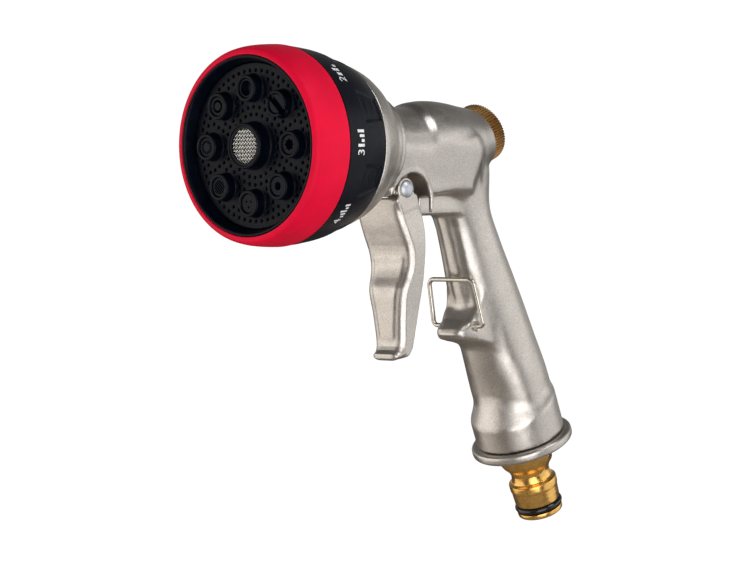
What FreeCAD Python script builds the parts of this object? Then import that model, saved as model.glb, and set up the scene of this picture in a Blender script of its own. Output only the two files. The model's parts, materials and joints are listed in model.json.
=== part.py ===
import FreeCAD, Part

import math
import os

from FreeCAD import Vector

# Pistol-grip garden hose nozzle with a turning eight-pattern head.
# Millimetres. The pieces are drawn in the head frame: the head axis is Y, water leaves along -Y,
# Z is up, and the plane where the soft ring meets the dial is y = 0. They are exported in the
# row frame, whose origin is the middle of the latch collar on the hose spigot.

# ---- driving dimensions -------------------------------------------------------------------
HANDLE_Y = 76.5             # where the handle axis crosses the head axis
HANDLE_LEAN = 21.2          # degrees from vertical, foot towards the rear
PATTERNS = 8                # spray patterns, and clicks of the dial
STEP_DEG = 360.0 / PATTERNS

RING_FRONT_Y = -13.2        # soft ring, front edge
RING_BORE_R = 26.7
RING_R = 30.1
DIAL_REAR_Y = 19.8
DIAL_REAR_R = 26.1
DIAL_BORE_R = 24.6
SCOOP_FRONT_Y = 9.2         # finger scoops in the dial, between the pattern marks
SCOOP_REAR_Y = 18.2
SCOOP_R = 6.0
SCOOP_CENTRE_R = 33.8
FACE_Y = -9.3               # front of the face plate
FACE_T = 2.0
BOSS_CIRCLE_R = 16.9
BOSS_FRONT_Y = -12.7
BOSS_R = 4.0
BOSS_BORE_R = 2.9
HUB_FRONT_Y = -14.0         # centre boss with the woven screen
HUB_R = 6.8
HUB_BORE_R = 5.9
PLATE_FRONT_Y = 2.0         # channel plate behind the face plate
PLATE_REAR_Y = 4.5
PORT_CIRCLE_R = 11.5
PORT_R = 2.0
DETENT_CIRCLE_R = 17.5
DETENT_BALL_R = 1.5
NOSE_FACE_Y = 5.2           # front of the casting, inside the dial
NOSE_R = 20.0
BELL_FRONT_Y = 20.4
BELL_REAR_Y = 38.3
LIP_R = 16.1
LIP_REAR_Y = 40.6

BORE_R = 5.0                # front water way, on the head axis
SEAT_HOLE_R = 3.4           # oblique way from the flow seat to the front bore

# The flow valve is square to the handle: its places are distances behind the handle axis.
KNOB_S = 3.2                # flow axis, this far down the handle axis
REAR_FACE_B = 14.5          # flat rear face of the casting
KNOB_FRONT_B = 14.85
KNOB_REAR_B = 20.3
KNOB_R = 9.8
FLOW_SEAT_B = -7.2
SPINDLE_FRONT_B = -2.9
CHAMBER_R = 6.2
THREAD_R = 3.0              # spindle thread

PIN_Y = 48.0                # trigger pin
PIN_Z = -13.7
PIN_R = 1.5
EAR_R = 3.7
EAR_IN_X = 7.4
EAR_OUT_X = 9.2
STEM_Z = -18.6              # valve stem axis
STEM_R = 1.4
CAM_Y = 55.5                # rear face of the cam finger on the trigger
CAM_HALF_X = 2.6
GLAND_FACE_Y = 60.5
SEAT_REAR_Y = 80.5
VALVE_R = 5.6               # valve chamber

BAIL_Y = 83.0               # lock bail pivot, on the hook
BAIL_Z = -58.0
BAIL_WIRE_R = 0.75
BAIL_TOP_Y = 79.4
BAIL_TOP_Z = -43.0
BAIL_TOP_X = 9.2
BAIL_FOOT_X = 10.4

COLLAR_R = 14.75            # round foot of the handle
COLLAR_TOP_S = 93.0
COLLAR_FOOT_S = 102.7
FLANGE_TOP_S = 103.0
FLANGE_FOOT_S = 106.4
FLANGE_R = 16.9
SOCKET_TOP_S = 90.0         # threaded socket for the hose adapter
SOCKET_R = 8.0
HANDLE_BORE_R = 4.5
HANDLE_BORE_OFFSET = 1.5    # the bore runs this far behind the handle axis
LATCH_TOP_S = 118.9         # latch collar of the spigot
LATCH_FOOT_S = 121.4
LATCH_R = 8.1
SPIGOT_END_S = 131.0
SPIGOT_BORE_R = 4.75
ORING_S = 127.8
ORING_OUTER_R = 8.0
ORING_WIRE_R = 0.95

RUN = 0.05                  # running clearance on a radius
AXIS_X = Vector(1, 0, 0)
AXIS_Y = Vector(0, 1, 0)
AXIS_Z = Vector(0, 0, 1)

LEAN = math.radians(HANDLE_LEAN)
HANDLE_TOP = Vector(0, HANDLE_Y, 0)
HANDLE_DOWN = Vector(0, math.sin(LEAN), -math.cos(LEAN))
HANDLE_BACK = Vector(0, math.cos(LEAN), math.sin(LEAN))
LATCH_MID_S = (LATCH_TOP_S + LATCH_FOOT_S) / 2
ROW_ORIGIN = HANDLE_TOP + HANDLE_DOWN * LATCH_MID_S
FLOW_BASE = HANDLE_TOP + HANDLE_DOWN * KNOB_S


# ---- helpers ------------------------------------------------------------------------------
def edges_of(steps, place):
    """Edges through the steps: a point makes a line, a (middle, end) pair of points an arc."""
    edges = []
    here = place(steps[0])
    for step in steps[1:] + [steps[0]]:
        curved = isinstance(step[0], tuple)
        end = place(step[1]) if curved else place(step)
        if curved:
            edges.append(Part.Arc(here, place(step[0]), end).toShape())
        elif (end - here).Length > 1e-6:
            edges.append(Part.LineSegment(here, end).toShape())
        here = end
    return edges


def turned(steps, base=Vector(0, 0, 0), along=AXIS_Y, out=AXIS_Z):
    """A solid of revolution: each step is (distance along the axis, radius)."""
    wire = Part.Wire(edges_of(steps, lambda p: base + along * p[0] + out * p[1]))
    return Part.Face(wire).revolve(base, along, 360)


def turned_on_handle(steps):
    return turned(steps, HANDLE_TOP, HANDLE_DOWN, HANDLE_BACK)


def ring(y0, y1, inner, outer, centre=(0, 0)):
    base = Vector(centre[0], 0, centre[1])
    return turned([(y0, inner), (y1, inner), (y1, outer), (y0, outer)], base)


def rod_y(y0, y1, radius, x=0.0, z=0.0):
    return Part.makeCylinder(radius, y1 - y0, Vector(x, y0, z), AXIS_Y)


def flow_rod(b0, b1, radius):
    return Part.makeCylinder(radius, b1 - b0, FLOW_BASE + HANDLE_BACK * b0, HANDLE_BACK)


def rod_x(x0, x1, radius, y, z):
    return Part.makeCylinder(radius, x1 - x0, Vector(x0, y, z), AXIS_X)


def box(x0, x1, y0, y1, z0, z1):
    return Part.makeBox(x1 - x0, y1 - y0, z1 - z0, Vector(x0, y0, z0))


def torus_y(y, z, circle_r, wire_r, x=0.0):
    return Part.makeTorus(circle_r, wire_r, Vector(x, y, z), AXIS_Y)


def side_plate(steps, x0, x1):
    """A closed outline in the Y-Z plane, extruded from x0 to x1."""
    wire = Part.Wire(edges_of(steps, lambda p: Vector(x0, p[0], p[1])))
    return Part.Face(wire).extrude(Vector(x1 - x0, 0, 0))


def join(first, *others):
    return first.multiFuse(list(others)).removeSplitter()


def trimmed(shape, *cutters):
    return shape.cut(Part.makeCompound(list(cutters)))


def around_head(shape, index, start_deg=0.0):
    turned_shape = shape.copy()
    turned_shape.rotate(Vector(0, 0, 0), AXIS_Y, start_deg + index * STEP_DEG)
    return turned_shape


def coil_rings(y0, y1, circle_r, wire_r, turns, x=0.0, z=0.0):
    """A compression spring as a stack of closed turns, one solid per turn."""
    pitch = (y1 - y0 - 2 * wire_r) / (turns - 1)
    rings = [torus_y(y0 + wire_r + pitch * i, z, circle_r, wire_r, x) for i in range(turns)]
    return Part.makeCompound(rings)


# ---- turning head -------------------------------------------------------------------------
def grip_ring():
    return turned([
        (RING_FRONT_Y, RING_BORE_R),
        (RING_FRONT_Y, RING_BORE_R + 0.7),
        ((RING_FRONT_Y + 0.6, RING_R - 1.55), (-11.4, RING_R - 0.95)),
        ((-6.0, RING_R - 0.2), (0.0, RING_R)),
        (0.0, RING_BORE_R),
    ])


def dial_shell():
    shell = turned([
        (FACE_Y, DIAL_BORE_R),
        (RING_FRONT_Y + 0.2, RING_BORE_R - 1.0),
        (RING_FRONT_Y + 0.2, RING_BORE_R - 0.05),
        (0.05, RING_BORE_R - 0.05),
        (0.05, RING_R - 0.2),
        ((10.0, RING_R - 1.3), (DIAL_REAR_Y, DIAL_REAR_R)),
        (DIAL_REAR_Y, DIAL_BORE_R),
    ])
    scoop = rod_y(SCOOP_FRONT_Y, SCOOP_REAR_Y, SCOOP_R, z=SCOOP_CENTRE_R)
    scoops = [around_head(scoop, i, STEP_DEG / 2) for i in range(PATTERNS)]
    return trimmed(shell, *scoops)


def face_plate():
    """Front plate with eight bosses, the centre boss and rings of fine shower holes."""
    plate = rod_y(FACE_Y, FACE_Y + FACE_T, DIAL_BORE_R - 0.05)
    boss = rod_y(BOSS_FRONT_Y, FACE_Y + 0.5, BOSS_R, z=BOSS_CIRCLE_R)
    bosses = [around_head(boss, i) for i in range(PATTERNS)]
    hub = rod_y(HUB_FRONT_Y, FACE_Y + 0.5, HUB_R)
    bore = rod_y(BOSS_FRONT_Y - 1, FACE_Y + FACE_T + 1, BOSS_BORE_R, z=BOSS_CIRCLE_R)
    bores = [around_head(bore, i) for i in range(PATTERNS)]
    hub_bore = rod_y(HUB_FRONT_Y - 1, FACE_Y + FACE_T + 1, HUB_BORE_R)
    holes = []
    for circle_r, per_gap in ((9.6, 1), (22.6, 3)):
        for i in range(PATTERNS):
            for j in range(per_gap):
                spread = (j - (per_gap - 1) / 2) * 11.0
                hole = rod_y(FACE_Y - 1, FACE_Y + FACE_T + 1, 0.4, z=circle_r)
                hole.rotate(Vector(0, 0, 0), AXIS_Y, spread)
                holes.append(around_head(hole, i, STEP_DEG / 2))
    return trimmed(join(plate, hub, *bosses), hub_bore, *(bores + holes))


def insert_blank(front_y=BOSS_FRONT_Y + 0.5, length=3.0):
    return rod_y(front_y, front_y + length, BOSS_BORE_R - 0.02, z=BOSS_CIRCLE_R)


def pattern_inserts():
    """One nozzle insert per boss, named for its spray, clockwise from the top seen from the front."""
    through = (BOSS_FRONT_Y - 1, FACE_Y + FACE_T + 1)
    mid_z = BOSS_CIRCLE_R
    groove = box(-3.2, 3.2, BOSS_FRONT_Y, BOSS_FRONT_Y + 2.0, mid_z - 0.9, mid_z + 0.9)
    slit = box(-1.9, 1.9, *through, mid_z - 0.4, mid_z + 0.4)
    teeth = []
    for i in range(6):
        tooth = rod_y(*through, 0.55, z=mid_z + 1.5)
        tooth.rotate(Vector(0, 0, mid_z), AXIS_Y, 60.0 * i)
        teeth.append(tooth)
    slats = [box(-2.2, 2.2, *through, mid_z + h - 0.2, mid_z + h + 0.2) for h in (-1.4, -0.7, 0, 0.7, 1.4)]
    drops = [rod_y(*through, 0.35, x=x, z=mid_z + z) for x, z in ((0, 1.1), (0.95, -0.55), (-0.95, -0.55))]
    cutters = [
        ("gush_insert", [rod_y(*through, 2.2, z=mid_z)]),
        ("fan_insert", [groove, slit]),
        ("full_insert", [rod_y(*through, 1.3, z=mid_z)] + teeth),
        ("jet_insert", [rod_y(*through, 1.1, z=mid_z)]),
        ("drip_insert", drops),
        ("soak_insert", slats),
        ("mist_insert", teeth),
        ("cone_insert", [ring(*through, 1.2, 1.9, (0, mid_z))]),
    ]
    inserts = {}
    for i, (name, cuts) in enumerate(cutters):
        body = trimmed(insert_blank(), *cuts)
        if name == "cone_insert":
            bridge = box(-2.0, 2.0, BOSS_FRONT_Y + 2.6, BOSS_FRONT_Y + 3.5, mid_z - 0.4, mid_z + 0.4)
            body = join(body, bridge.common(insert_blank()))
        inserts[name] = around_head(body, i)
    return inserts


def screen_holder():
    return turned([
        (HUB_FRONT_Y + 0.3, HUB_BORE_R - 0.8),
        (HUB_FRONT_Y + 0.3, HUB_BORE_R - 0.02),
        (HUB_FRONT_Y + 0.9, HUB_BORE_R - 0.02),
        (HUB_FRONT_Y + 0.9, HUB_BORE_R - 0.8),
    ])


def mesh_screen():
    return rod_y(HUB_FRONT_Y + 0.95, HUB_FRONT_Y + 1.35, HUB_BORE_R - 0.05)


def channel_plate():
    """Turns with the dial and steers the water from one port to one pattern."""
    plate = rod_y(PLATE_FRONT_Y, PLATE_REAR_Y, DIAL_BORE_R - 0.05)
    front = FACE_Y + FACE_T
    wall = ring(front, PLATE_FRONT_Y + 0.5, 6.6, 7.8)
    rib = box(-0.6, 0.6, front, PLATE_FRONT_Y + 0.5, 7.2, DIAL_BORE_R - 0.4)
    ribs = [around_head(rib, i, STEP_DEG / 2) for i in range(PATTERNS)]
    port = rod_y(PLATE_FRONT_Y - 1, PLATE_REAR_Y + 1, PORT_R, z=PORT_CIRCLE_R)
    ports = [around_head(port, i) for i in range(PATTERNS)]
    hub_hole = rod_y(PLATE_FRONT_Y - 1, PLATE_REAR_Y + 1, 3.0 + RUN)
    track_r = (DETENT_CIRCLE_R - 1.8, DETENT_CIRCLE_R + 1.8)
    track = ring(PLATE_REAR_Y - 0.9, PLATE_REAR_Y + 1, *track_r)
    return trimmed(join(plate, wall, *ribs), hub_hole, track, *ports)


# ---- fixed head ---------------------------------------------------------------------------
def front_bell():
    return turned([
        (BELL_FRONT_Y, 24.5),
        (BELL_FRONT_Y, 25.7),
        ((26.5, 24.2), (32.4, 20.8)),
        (33.2, 20.2),
        ((34.0, 18.2), (36.4, 17.0)),
        (BELL_REAR_Y, 16.7),
        (BELL_REAR_Y, 15.65),
        (34.2, 15.65),
        (31.6, 19.3),
        ((26.0, 22.8), (BELL_FRONT_Y, 24.5)),
    ])


def head_screw():
    return turned([
        (-1.8, 0.0),
        (-1.8, 4.8),
        (1.0, 4.8),
        (1.0, 3.0),
        (NOSE_FACE_Y, 3.0),
        (NOSE_FACE_Y, 2.5),
        (15.0, 2.5),
        (15.0, 0.0),
    ])


def screw_washer():
    return ring(1.05, 1.65, 3.0 + RUN, 5.6)


def outlet_seal():
    return ring(PLATE_REAR_Y + 0.05, 8.4, 2.2, 3.6, (0, PORT_CIRCLE_R))


def outlet_spring():
    return coil_rings(8.5, 12.0, 2.9, 0.35, 4, z=PORT_CIRCLE_R)


def detent_ball():
    return Part.makeSphere(DETENT_BALL_R, Vector(0, 5.4, -DETENT_CIRCLE_R))


def detent_spring():
    return coil_rings(7.0, 11.0, 1.1, 0.25, 5, z=-DETENT_CIRCLE_R)


# ---- cast body ----------------------------------------------------------------------------
# Handle sections: distance down the axis, half width, depth in front, depth behind, squareness.
HANDLE_SECTIONS = [
    (2.0, 9.4, 9.0, 14.5, 3.0),
    (12.0, 9.0, 9.8, 14.6, 2.8),
    (24.0, 8.3, 9.5, 10.6, 2.4),
    (36.0, 8.9, 10.2, 10.9, 2.4),
    (47.0, 9.8, 11.2, 12.1, 2.4),
    (58.0, 10.8, 11.5, 13.1, 2.4),
    (70.0, 11.7, 11.0, 14.0, 2.4),
    (82.0, 12.9, 10.2, 14.7, 2.4),
    (96.0, 13.0, 10.0, 14.6, 2.4),
]
# Barrel sections: y and height of the centre, radius, lean in degrees.
BARREL_SECTIONS = [
    (LIP_REAR_Y - 0.2, -0.3, 13.4, 0.0),
    (47.0, -0.2, 12.6, 0.0),
    (56.0, -0.1, 12.8, 0.0),
    (66.0, 0.1, 13.2, 0.0),
    (76.0, 0.5, 12.6, 6.0),
    (85.0, 1.4, 11.3, 15.0),
    (91.2, 2.3, 10.1, HANDLE_LEAN),
    (93.1, 3.0, 10.1, HANDLE_LEAN),
]


def handle_section(s, half_x, front, back, power, count=20):
    """Superellipse across the handle, with its own depth in front and behind."""
    points = []
    for i in range(count):
        angle = 2 * math.pi * i / count
        cos_a = math.cos(angle)
        sin_a = math.sin(angle)
        depth = back if cos_a > 0 else front
        across = half_x * math.copysign(abs(sin_a) ** (2 / power), sin_a)
        fore = depth * math.copysign(abs(cos_a) ** (2 / power), cos_a)
        points.append(HANDLE_TOP + HANDLE_DOWN * s + AXIS_X * across + HANDLE_BACK * fore)
    curve = Part.BSplineCurve()
    curve.interpolate(points, PeriodicFlag=True)
    return Part.Wire(curve.toShape())


def handle_shell():
    wires = [handle_section(*section) for section in HANDLE_SECTIONS]
    return Part.makeLoft(wires, True, False)


def barrel_shell():
    wires = []
    for y, z, radius, lean in BARREL_SECTIONS:
        normal = Vector(0, math.cos(math.radians(lean)), math.sin(math.radians(lean)))
        wires.append(Part.Wire(Part.makeCircle(radius, Vector(0, y, z), normal)))
    return Part.makeLoft(wires, True, False)


def nose():
    return turned([
        (NOSE_FACE_Y, 0.0),
        (NOSE_FACE_Y, NOSE_R),
        (22.0, NOSE_R),
        (32.0, 15.6),
        (BELL_REAR_Y + 0.05, 15.6),
        (BELL_REAR_Y + 0.05, LIP_R),
        (LIP_REAR_Y - 0.5, LIP_R),
        (LIP_REAR_Y, LIP_R - 0.5),
        (LIP_REAR_Y, 0.0),
    ])


def hook():
    """Finger stop on the front of the handle that also carries the lock bail."""
    return side_plate([
        (93.0, -44.0),
        (84.6, -47.0),
        ((83.0, -55.0), (77.4, -58.6)),
        ((76.6, -60.6), (78.6, -62.3)),
        (86.0, -63.6),
        (95.0, -66.0),
    ], -5.0, 5.0)


def hook_cheeks():
    return side_plate([
        (93.0, -52.0),
        (85.8, -53.4),
        ((82.0, -55.0), (80.2, -58.4)),
        ((80.6, -61.0), (83.4, -62.4)),
        (95.0, -64.5),
    ], -7.3, 7.3)


def fender():
    """Side cheeks with the arched pocket that the trigger ears sit in, and the valve keel."""
    cheeks = box(-10.8, 10.8, LIP_REAR_Y - 0.5, 78.0, -16.0, -2.0)
    keel = box(-6.6, 6.6, 56.9, 80.0, -22.2, -12.0)
    keel = keel.makeFillet(3.0, [e for e in keel.Edges if is_long_low_edge(e, -22.2)])
    return join(cheeks, keel)


def is_long_low_edge(edge, z):
    box_ = edge.BoundBox
    return box_.YLength > 10 and abs(box_.ZMax - z) < 1e-6


def pocket():
    arch = rod_x(-12.0, 12.0, 8.2, 48.9, -17.0)
    below = box(-12.0, 12.0, 41.2, 56.9, -30.0, -17.0)
    return join(arch, below)


def pin_lug(side):
    x0, x1 = sorted((side * 3.2, side * 7.1))
    eye = rod_x(x0, x1, 3.4, PIN_Y, PIN_Z)
    web = box(x0, x1, PIN_Y - 3.4, PIN_Y + 3.4, PIN_Z, -7.5)
    return eye.fuse(web)


def foot_collar():
    return turned_on_handle([
        (COLLAR_TOP_S - 3.0, 0.0),
        (COLLAR_TOP_S - 3.0, 12.0),
        (COLLAR_TOP_S, COLLAR_R),
        (COLLAR_FOOT_S, COLLAR_R),
        (COLLAR_FOOT_S, 0.0),
    ])


def water_ways():
    """Bores inside the casting: handle, valve, riser, flow chamber, front bore and outlet."""
    start = HANDLE_TOP + HANDLE_BACK * HANDLE_BORE_OFFSET + HANDLE_DOWN * 22.0
    handle_bore = Part.makeCylinder(HANDLE_BORE_R, SOCKET_TOP_S - 22.0, start, HANDLE_DOWN)
    socket_base = HANDLE_TOP + HANDLE_DOWN * SOCKET_TOP_S
    socket = Part.makeCylinder(SOCKET_R, COLLAR_FOOT_S - SOCKET_TOP_S + 1, socket_base, HANDLE_DOWN)
    stem_bore = rod_y(54.0, 68.0, STEM_R + RUN, z=STEM_Z)
    gland_bore = rod_y(54.0, 64.5, 2.62, z=STEM_Z)
    valve_front = rod_y(67.0, 77.4, 3.6, z=STEM_Z)
    valve_rear = rod_y(77.4, 92.3, VALVE_R, z=STEM_Z)
    riser = Part.makeCylinder(2.4, 10.1, Vector(0, 75.0, STEM_Z), AXIS_Z)
    flow_chamber = flow_rod(FLOW_SEAT_B, REAR_FACE_B + 3, CHAMBER_R)
    flow_seat = flow_rod(FLOW_SEAT_B - 4.0, FLOW_SEAT_B + 0.1, SEAT_HOLE_R)
    rise_start = FLOW_BASE + HANDLE_BACK * (FLOW_SEAT_B - 4.0)
    rise = Vector(0, 57.0, 0) - rise_start
    seat_rise = Part.makeCylinder(SEAT_HOLE_R, rise.Length, rise_start, rise)
    front_bore = rod_y(16.0, 60.0, BORE_R)
    outlet_rise = Part.makeCylinder(2.5, PORT_CIRCLE_R, Vector(0, 19.0, 0), AXIS_Z)
    outlet = rod_y(11.0, 19.0, 2.2, z=PORT_CIRCLE_R)
    seal_pocket = rod_y(NOSE_FACE_Y - 1, 12.1, 3.65, z=PORT_CIRCLE_R)
    screw_hole = rod_y(NOSE_FACE_Y - 1, 15.3, 2.5)
    detent_hole = rod_y(NOSE_FACE_Y - 1, 11.1, DETENT_BALL_R + RUN, z=-DETENT_CIRCLE_R)
    return [handle_bore, socket, stem_bore, gland_bore, valve_front, valve_rear, riser, flow_chamber,
            flow_seat, seat_rise, front_bore, outlet_rise, outlet, seal_pocket, screw_hole, detent_hole]


def body_casting():
    shell = join(barrel_shell(), nose(), handle_shell(), foot_collar(), fender(), hook(), hook_cheeks())
    knob_room = flow_rod(REAR_FACE_B, REAR_FACE_B + 12, KNOB_R + 0.6)
    shell = trimmed(shell, pocket(), knob_room)
    shell = join(shell, pin_lug(-1), pin_lug(1))
    finger_slot = box(-3.2, 3.2, 44.0, 60.4, -30.0, -12.4)
    pin_hole = rod_x(-12.0, 12.0, PIN_R, PIN_Y, PIN_Z)
    bail_hole = rod_x(-12.0, 12.0, BAIL_WIRE_R + RUN, BAIL_Y, BAIL_Z)
    bail_core = rod_x(-5.6, 5.6, 2.0, BAIL_Y, BAIL_Z)
    shell = trimmed(shell, finger_slot, pin_hole, bail_hole, *water_ways())
    return join(shell, bail_core)


# ---- trigger valve ------------------------------------------------------------------------
def stem_gland():
    return ring(GLAND_FACE_Y, 62.4, STEM_R + RUN, 2.6, (0, STEM_Z))


def stem_oring():
    return torus_y(63.3, STEM_Z, 2.02, 0.55)


def valve_seat():
    return turned([
        (77.5, 3.2),
        (77.5, VALVE_R - 0.02),
        (SEAT_REAR_Y - 0.6, VALVE_R - 0.02),
        (SEAT_REAR_Y, 4.1),
        (SEAT_REAR_Y, 3.2),
    ], Vector(0, 0, STEM_Z))


def valve_stem():
    return turned([
        (CAM_Y + 0.05, 0.0),
        (CAM_Y + 0.45, 1.0),
        (CAM_Y + 1.0, STEM_R),
        (80.55, STEM_R),
        (80.55, 1.0),
        (84.4, 1.0),
        (84.4, 2.2),
        (85.2, 2.2),
        (85.2, 0.0),
    ], Vector(0, 0, STEM_Z))


def stem_washer():
    return ring(80.56, 82.4, 1.0, 4.6, (0, STEM_Z))


def washer_cup():
    return turned([
        (82.41, 1.0),
        (82.41, 4.8),
        (83.3, 4.8),
        (83.3, 2.3),
        (84.4, 2.3),
        (84.4, 1.0),
    ], Vector(0, 0, STEM_Z))


def valve_spring():
    return coil_rings(83.4, 92.2, 3.9, 0.45, 6, z=STEM_Z)


def trigger_pin():
    head_r = 2.8
    under_head = EAR_OUT_X + 0.1
    return turned([
        (-under_head - 1.3, 0.0),
        (-under_head - 1.3, 0.5),
        ((-under_head - 0.9, head_r * 0.72), (-under_head, head_r)),
        (-under_head, PIN_R),
        (under_head, PIN_R),
        (under_head, head_r),
        ((under_head + 0.9, head_r * 0.72), (under_head + 1.3, 0.5)),
        (under_head + 1.3, 0.0),
    ], Vector(0, PIN_Y, PIN_Z), AXIS_X, AXIS_Z)


# Trigger outlines in the Y-Z plane, from the top down.
TRIGGER_FRONT = [(43.2, -16.6), (45.3, -23.7), (47.7, -29.0), (49.4, -33.0), (49.9, -36.9),
                 (49.1, -40.7), (47.7, -44.2), (47.8, -52.5), (48.3, -61.0)]
TRIGGER_BACK = [(53.8, -61.0), (55.1, -52.7), (55.8, -44.0), (56.0, -35.3), (56.0, -29.2), (55.3, -23.0),
                (52.6, -15.6)]
# Trigger half widths: z, half width.
TRIGGER_WIDTHS = [(-9.0, 9.2), (-22.0, 9.2), (-30.0, 9.5), (-41.0, 8.5), (-52.0, 6.7), (-68.0, 5.3)]
TRIGGER_WALL = 1.8


def smooth(points):
    curve = Part.BSplineCurve()
    curve.interpolate([Vector(0, y, z) for y, z in points])
    return curve.toShape()


def straight(start, end):
    return Part.LineSegment(Vector(0, *start), Vector(0, *end)).toShape()


def slab(edges, half_x):
    face = Part.Face(Part.Wire(edges))
    solid = face.extrude(Vector(2 * half_x, 0, 0))
    solid.translate(Vector(-half_x, 0, 0))
    return solid


def width_prism(shrink, y0=38.0, y1=62.0):
    """Front outline of the trigger, extruded through its depth."""
    right = [Vector(w - shrink, y0, z) for z, w in TRIGGER_WIDTHS]
    left = [Vector(shrink - w, y0, z) for z, w in reversed(TRIGGER_WIDTHS)]
    wire = Part.makePolygon(right + left + right[:1])
    return Part.Face(wire).extrude(Vector(0, y1 - y0, 0))


def trigger():
    """U-section lever: front plate, two side plates with pin ears, cam finger and curled lip."""
    lip_arc = Part.Arc(Vector(0, 48.3, -61.0), Vector(0, 48.0, -63.6), Vector(0, 46.2, -64.8)).toShape()
    heel_arc = Part.Arc(Vector(0, 47.0, -66.8), Vector(0, 52.0, -65.4), Vector(0, 53.8, -61.0)).toShape()
    edges = [smooth(TRIGGER_FRONT), lip_arc, straight((46.2, -64.8), (47.0, -66.8)), heel_arc,
             smooth(TRIGGER_BACK), straight(TRIGGER_BACK[-1], TRIGGER_FRONT[0])]
    outer = slab(edges, EAR_OUT_X).common(width_prism(0.0))
    inner_front = [(y + TRIGGER_WALL, z) for y, z in TRIGGER_FRONT]
    hollow_top = (inner_front[0][0], -8.0)
    hollow_edges = [smooth(inner_front), straight(inner_front[-1], (60.0, -60.0)),
                    straight((60.0, -60.0), (60.0, -8.0)), straight((60.0, -8.0), hollow_top),
                    straight(hollow_top, inner_front[0])]
    hollow = slab(hollow_edges, EAR_OUT_X).common(width_prism(TRIGGER_WALL))
    lever = trimmed(outer, hollow)
    cam = box(-CAM_HALF_X, CAM_HALF_X, 46.6, CAM_Y, -24.7, -17.2)
    lip_z, top_z = TRIGGER_FRONT[-1][1], TRIGGER_FRONT[0][1]
    ahead_y = 30.0
    front_clear = slab([smooth(TRIGGER_FRONT), straight(TRIGGER_FRONT[-1], (ahead_y, lip_z)),
                        straight((ahead_y, lip_z), (ahead_y, top_z)),
                        straight((ahead_y, top_z), TRIGGER_FRONT[0])], 5.0)
    pieces = [cam.cut(front_clear)]
    for side in (-1, 1):
        x0, x1 = sorted((side * EAR_IN_X, side * EAR_OUT_X))
        ear = rod_x(x0, x1, EAR_R, PIN_Y, PIN_Z)
        cheek = side_plate([(43.4, -16.9), (44.6, -15.0), (PIN_Y, PIN_Z), (51.6, -14.4), (52.6, -15.7),
                            (53.4, -18.0), (46.0, -20.0)], x0, x1)
        pieces += [ear, cheek]
    lever = join(lever, *pieces)
    return trimmed(lever, rod_x(-12.0, 12.0, PIN_R + RUN, PIN_Y, PIN_Z))


def lock_bail():
    """Bent wire loop: two short pivot ends, two legs and the cross bar."""
    top = Vector(0, BAIL_TOP_Y, BAIL_TOP_Z)
    foot = Vector(0, BAIL_Y, BAIL_Z)
    up = (top - foot).normalize()
    corners = [foot + AXIS_X * 5.9, foot + AXIS_X * BAIL_FOOT_X,
               top + AXIS_X * BAIL_TOP_X, top - AXIS_X * BAIL_TOP_X,
               foot - AXIS_X * BAIL_FOOT_X, foot - AXIS_X * 5.9]
    bend_r = [1.5, 2.2, 2.2, 1.5]
    edges = []
    here = corners[0]
    for i in range(1, 5):
        into = (corners[i] - corners[i - 1]).normalize()
        away = (corners[i + 1] - corners[i]).normalize()
        half_turn = into.getAngle(away) / 2
        reach = bend_r[i - 1] * math.tan(half_turn)
        start = corners[i] - into * reach
        end = corners[i] + away * reach
        middle_dir = (away - into).normalize()
        middle = corners[i] + middle_dir * (bend_r[i - 1] / math.cos(half_turn) - bend_r[i - 1])
        edges.append(Part.LineSegment(here, start).toShape())
        edges.append(Part.Arc(start, middle, end).toShape())
        here = end
    edges.append(Part.LineSegment(here, corners[-1]).toShape())
    path = Part.Wire(edges)
    section = Part.Wire(Part.makeCircle(BAIL_WIRE_R, corners[0], AXIS_X))
    return path.makePipeShell([section], True, False)


# ---- flow control -------------------------------------------------------------------------
def on_flow_axis(steps):
    return turned(steps, FLOW_BASE, HANDLE_BACK, HANDLE_DOWN * -1)


def jumper_washer():
    return on_flow_axis([
        (FLOW_SEAT_B + 0.05, 1.0),
        (FLOW_SEAT_B + 2.0, 1.0),
        (FLOW_SEAT_B + 2.0, 5.2),
        (FLOW_SEAT_B + 0.05, 5.2),
    ])


def jumper():
    return on_flow_axis([
        (FLOW_SEAT_B + 0.05, 0.0),
        (FLOW_SEAT_B + 0.05, 1.0),
        (FLOW_SEAT_B + 2.01, 1.0),
        (FLOW_SEAT_B + 2.01, 5.2),
        (FLOW_SEAT_B + 4.0, 5.2),
        (FLOW_SEAT_B + 4.0, 1.5),
        (SPINDLE_FRONT_B + 3.4, 1.5),
        (SPINDLE_FRONT_B + 3.4, 0.0),
    ])


def flow_spindle():
    return on_flow_axis([
        (SPINDLE_FRONT_B, 1.5 + RUN),
        (SPINDLE_FRONT_B, 3.9),
        (3.1, 3.9),
        (3.1, 2.75),
        (4.9, 2.75),
        (4.9, 3.9),
        (6.2, 3.9),
        (6.8, THREAD_R),
        (KNOB_FRONT_B, THREAD_R),
        (KNOB_FRONT_B, 2.5),
        (KNOB_REAR_B - 0.2, 2.5),
        (KNOB_REAR_B - 0.2, 1.2),
        (12.5, 1.2),
        (12.5, 0.0),
        (SPINDLE_FRONT_B + 4.0, 0.0),
        (SPINDLE_FRONT_B + 4.0, 1.5 + RUN),
    ])


def spindle_oring():
    return Part.makeTorus(3.34, 0.58, FLOW_BASE + HANDLE_BACK * 4.0, HANDLE_BACK)


def bonnet():
    return on_flow_axis([
        (2.0, 3.9 + RUN),
        (2.0, CHAMBER_R - 0.02),
        (REAR_FACE_B - 0.3, CHAMBER_R - 0.02),
        (REAR_FACE_B - 0.3, THREAD_R + RUN),
        (9.6, THREAD_R + RUN),
        (9.6, 3.9 + RUN),
    ])


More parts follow.
